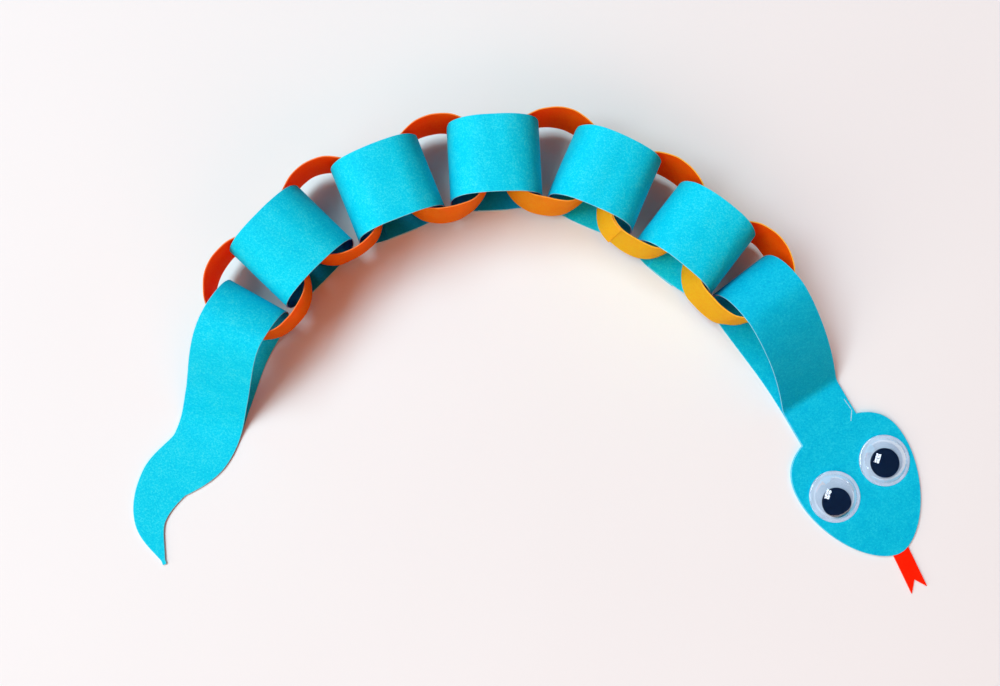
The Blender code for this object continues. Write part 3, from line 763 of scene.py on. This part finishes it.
# A turned body: profile of (radius, height) carried round the upright axis, with one point at each pole.
def turnedBody(name, profile, spot, look):
    radius, height = np.asarray(profile, float).T
    count = eye["around"]
    angle = np.linspace(0, 2 * np.pi, count, endpoint=False)
    inner = slice(1, -1)
    ring = np.stack([
        spot[0] + radius[inner, None] * np.cos(angle),
        spot[1] + radius[inner, None] * np.sin(angle),
        spot[2] + height[inner, None] + 0 * angle], -1)
    poles = [[spot[0], spot[1], spot[2] + height[0]], [spot[0], spot[1], spot[2] + height[-1]]]
    verts = np.concatenate([ring.reshape(-1, 3), poles])
    index = np.arange(len(ring) * count).reshape(len(ring), count)
    onward = np.roll(index, -1, axis=1)
    walls = np.stack([index[:-1], index[1:], onward[1:], onward[:-1]], -1).reshape(-1, 4)
    top, bottom = index.size, index.size + 1
    caps = [(top, a, b) for a, b in zip(index[0], onward[0])]
    caps += [(bottom, b, a) for a, b in zip(index[-1], onward[-1])]
    return meshObject(name, verts, list(walls) + caps, [look], sharp=40.0)


discLooks = {
    "eyeWhite": {
        "noise": (260.0, 3.0), "span": (0.35, 0.65), "glossSpan": (0.3, 0.7), "rough": (0.28, 0.42),
        "first": (0.37, 0.45, 0.50, 1.0), "second": (0.42, 0.50, 0.55, 1.0),
    },
    "pupilBlack": {
        "noise": (500.0, 2.0), "span": (0.3, 0.7), "glossSpan": (0.3, 0.7), "rough": (0.10, 0.2),
        "first": (0.001, 0.004, 0.012, 1.0), "second": (0.002, 0.008, 0.022, 1.0),
    },
}


# A moulded disc: two shades in soft clouds, and a gloss that follows them.
def discMaterial(name):
    look = discLooks[name]
    mat, tree, shader = newMaterial(name)
    cloud = noiseAt(tree, objectCoords(tree), *look["noise"])
    setInputs(tree, shader, {
        "Base Color": colorMix(tree, mapped(tree, cloud, *look["span"]), look["first"], look["second"]),
        "Roughness": mapped(tree, cloud, *look["glossSpan"], *look["rough"])})
    return mat


clear = {
    "color": (0.97, 0.98, 1.0, 1.0), "bending": 1.58, "shadow": 0.08,
    "noise": (400.0, 2.0), "span": (0.4, 0.75), "rough": (0.0, 0.02),
}


# Clear plastic that lets the lamps' light through to what lies under it.
def clearPlastic():
    mat, tree, shader = newMaterial("eyeClear")
    haze = noiseAt(tree, objectCoords(tree), *clear["noise"])
    light = addNode(tree, "ShaderNodeLightPath").outputs["Is Shadow Ray"]
    setInputs(tree, shader, {
        "Base Color": clear["color"], "Transmission Weight": 1.0, "IOR": clear["bending"],
        "Coat Weight": 1.0, "Coat Roughness": 0.0,
        "Roughness": mapped(tree, haze, *clear["span"], *clear["rough"]),
        "Alpha": mapped(tree, light, 0.0, 1.0, 1.0, clear["shadow"])})
    return mat


eyeLooks = {"white": discMaterial("eyeWhite"), "black": discMaterial("pupilBlack"), "clear": clearPlastic()}


# A disc with its upper edge rounded off.
def discProfile(radius, thick, rounding):
    arc = np.linspace(np.pi / 2, 0.0, eye["roundingPoints"])
    rows = [(0.0, thick)]
    flat = np.linspace(radius / eye["discRows"], radius - rounding, eye["discRows"])
    rows += [(r, thick) for r in flat[:-1]]
    rows += list(zip(radius - rounding + rounding * np.cos(arc), thick - rounding + rounding * np.sin(arc)))
    return rows + [(radius, 0.0), (radius * eye["underRow"], 0.0), (0.0, 0.0)]


# A ball's cap of the given foot radius and height, from its top down to a level above its foot.
def capProfile(foot, height, level):
    ball = (foot ** 2 + height ** 2) / (2 * height)
    last = np.arccos((level + ball - height) / ball)
    angle = np.linspace(0.0, last, eye["capPoints"])
    return ball * np.sin(angle), ball * np.cos(angle) - ball + height


# A flange with a softened rim and a domed cap: part of a ball outside, one wall smaller inside, open below.
def domeProfile():
    foot, wall = eye["radius"] - eye["flange"], eye["wall"]
    outer = zip(*capProfile(foot, eye["domeHeight"], wall))
    innerX, innerY = capProfile(foot - wall, eye["domeHeight"] - wall, 0.0)
    rim = [(eye["radius"] - inward, wall - down) for inward, down in eye["rim"]]
    return list(outer) + rim + [(eye["radius"], 0.0)] + list(zip(innerX[::-1], innerY[::-1]))


def makeEye(side, sign):
    back, left = turned((0.0, sign * eye["spacing"] / 2), eye["slant"])
    widest = headPaper["neck"] + headPaper["back"]
    spot, heading = besideHead(widest + eye["forward"] + back, eye["side"] + left)
    reach, bearing = eye["pupils"][side]
    slid = spot + turned((reach, 0.0), heading + bearing)
    name = side.capitalize()
    discTop = eye["base"] + eye["disc"]
    disc = turnedBody("eyeBack" + name, discProfile(eye["radius"], eye["disc"], eye["discRounding"]),
                      (*spot, eye["base"]), eyeLooks["white"])
    place(disc, "head", f"eye_backing_{side}")
    dome = turnedBody("eyeDome" + name, domeProfile(), (*spot, discTop + eye["glue"]), eyeLooks["clear"])
    place(dome, "head", f"eye_dome_{side}")
    profile = discProfile(eye["pupilRadius"], eye["pupilThick"], eye["pupilRounding"])
    pupil = turnedBody("pupilDisc" + name, profile, (*slid, discTop + eye["pupilGap"]), eyeLooks["black"])
    place(pupil, f"pupil_{side}", f"pupil_{side}")


makeEye("left", 1)
makeEye("right", -1)
print("stage: eyes")

table = {
    "reach": 900.0, "count": 9, "noise": (9.0, 2.0), "span": (0.3, 0.7), "rough": 0.7, "specular": 0.2,
    "color": (0.71, 0.89, 0.87, 1.0), "shade": (0.70, 0.875, 0.855, 1.0),
}


# The table: a level grid of points.
def makeTable():
    count = table["count"]
    marks = np.linspace(-table["reach"], table["reach"], count)
    x, y = np.meshgrid(marks, marks, indexing="ij")
    verts = np.stack([x.ravel(), y.ravel(), 0 * x.ravel()], -1)
    index = np.arange(count * count).reshape(count, count)
    faces = np.stack([index[:-1, :-1], index[1:, :-1], index[1:, 1:], index[:-1, 1:]], -1).reshape(-1, 4)
    mat, tree, shader = newMaterial("paleTable")
    cloud = noiseAt(tree, objectCoords(tree), *table["noise"])
    setInputs(tree, shader, {
        "Base Color": colorMix(tree, mapped(tree, cloud, *table["span"]), table["color"], table["shade"]),
        "Roughness": table["rough"], "Specular IOR Level": table["specular"]})
    piece = meshObject("tableTop", verts, faces, [mat])


# The window as seen from the snake: bearing and height in degrees, the rest in millimetres and watts.
window = {
    "bearing": 161.0, "height": 58.0, "distance": 3000.0, "width": 2300.0, "tall": 1150.0, "bar": 90.0,
    "power": 95.0, "color": (0.79, 0.88, 1.0),
}
# A pale wall of the room and a warm one, both low: bearing, height, power and colour.
walls = {
    "distance": 3500.0, "width": 2900.0,
    "lit": {
        "paleWall": (-150.0, 31.0, 63.0, (1.0, 0.84, 0.78)),
        "warmWall": (-72.0, 31.0, 49.0, (1.0, 0.17, 0.05)),
    },
}
# The room's dim warm light, the bluish room in the domes' gloss, and the pale wall seen behind the table.
room = {
    "color": (1.0, 0.26, 0.14), "strength": 0.30, "gloss": (0.015, 0.035, 0.10), "seen": (0.90, 0.87, 0.87),
}


# Way towards a light from its bearing and its height, both in degrees.
def wayTo(bearing, height):
    side, rise = np.radians(bearing), np.radians(height)
    return np.array([np.cos(side) * np.cos(rise), np.sin(side) * np.cos(rise), np.sin(rise)])


# An oblong lamp that faces the snake, seen in the domes' gloss or not.
def addLamp(name, spot, towards, size, power, color, glossy):
    light = bpy.data.lights.new(name, "AREA")
    light.shape = "RECTANGLE"
    light.size, light.size_y = size[0] * mm, size[1] * mm
    light.energy = power
    light.color = color
    lamp = bpy.data.objects.new(name, light)
    lamp.location = Vector(spot) * mm
    lamp.rotation_euler = Vector(-towards).to_track_quat("-Z", "Y").to_euler()
    # what lies under the clear domes gets its light straight through them, and only once
    lamp.visible_transmission = False
    lamp.visible_glossy = glossy
    bpy.context.scene.collection.objects.link(lamp)


# Four panes in the plane that faces the snake, with glazing bars between them.
def makeWindow():
    towards = wayTo(window["bearing"], window["height"])
    side = np.radians(window["bearing"])
    level = np.array([-np.sin(side), np.cos(side), 0.0])
    upward = np.cross(towards, level)
    width, tall = (window["width"] - window["bar"]) / 2, (window["tall"] - window["bar"]) / 2
    for row in (-0.5, 0.5):
        for column in (-0.5, 0.5):
            spot = (towards * window["distance"] + (width + window["bar"]) * column * level
                    + (tall + window["bar"]) * row * upward)
            addLamp("pane", spot, towards, (width, tall), window["power"] / 4, window["color"], True)


def makeWalls():
    size = (walls["width"], walls["width"])
    for name, (bearing, height, power, color) in walls["lit"].items():
        towards = wayTo(bearing, height)
        addLamp(name, towards * walls["distance"], towards, size, power, color, False)


def makeRoom():
    sky = bpy.data.worlds.new("softRoom")
    bpy.context.scene.world = sky
    sky.use_nodes = True
    tree = sky.node_tree
    ray = addNode(tree, "ShaderNodeLightPath").outputs
    dim = [room["strength"] * share for share in room["color"]]
    color = colorMix(tree, ray["Is Glossy Ray"], (*dim, 1.0), (*room["gloss"], 1.0))
    color = colorMix(tree, ray["Is Camera Ray"], color, (*room["seen"], 1.0))
    setInputs(tree, tree.nodes["Background"], {"Color": color, "Strength": 1.0})


view = {
    "place": (-35.337, -17.662, 322.114), "turn": (-4.0219, 4.28634, -0.01444),
    "lens": 40.338, "sensor": 36.0, "nearest": 10.0,
}


# The camera's turn is one vector: its direction the axis, its length the angle in degrees.
def makeCamera():
    camera = bpy.data.cameras.new("camera")
    camera.lens = view["lens"]
    camera.sensor_width = view["sensor"]
    camera.sensor_fit = "HORIZONTAL"
    camera.clip_start = view["nearest"] * mm
    holder = bpy.data.objects.new("camera", camera)
    turn = Vector(np.radians(view["turn"]))
    rotation = Matrix.Rotation(turn.length, 3, turn.normalized()).transposed()
    holder.matrix_world = Matrix.Translation(Vector(view["place"]) * mm) @ rotation.to_4x4()
    bpy.context.scene.collection.objects.link(holder)
    bpy.context.scene.camera = holder


makeTable()
makeWindow()
makeWalls()
makeRoom()
makeCamera()
bpy.context.scene.view_settings.view_transform = "Standard"
print("stage: table, light and camera")

bpy.context.view_layer.update()
